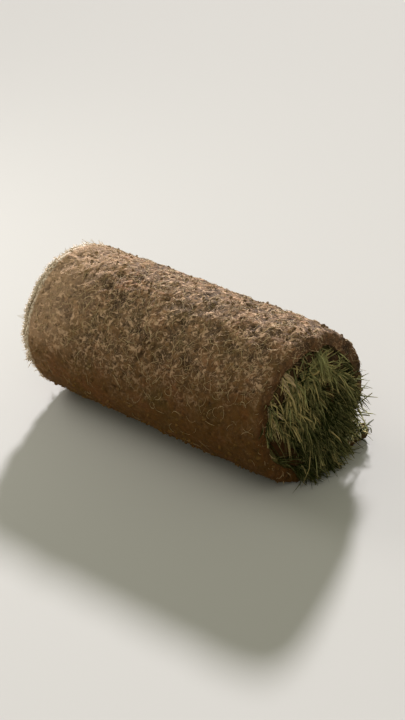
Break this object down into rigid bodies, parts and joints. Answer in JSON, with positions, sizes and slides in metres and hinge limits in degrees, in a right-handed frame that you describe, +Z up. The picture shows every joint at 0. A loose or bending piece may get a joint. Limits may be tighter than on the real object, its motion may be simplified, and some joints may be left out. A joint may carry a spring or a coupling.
{
  "type": "roll of turf",
  "caption": "Strip of turf wound up soil side out, with brown crumbly soil outside, its turns showing on both ends and green grass standing out of them.",
  "frame": {"origin": "on the ground under the winding's centre, halfway along the roll", "axes": "+X along the roll, towards the end that is nearer the camera in the picture; +Y towards the loose end of the strip, which lies flat on the ground; +Z up"},
  "size_m": [0.564, 0.266, 0.24],
  "materials": {
    "soil": "matt, crumbly soil bound by fine roots",
    "grass": "soft green blades with some dry ones"
  },
  "bodies": {
    "root": {"soil_mat": "soil", "grass": "grass"}
  },
  "joints": []
}
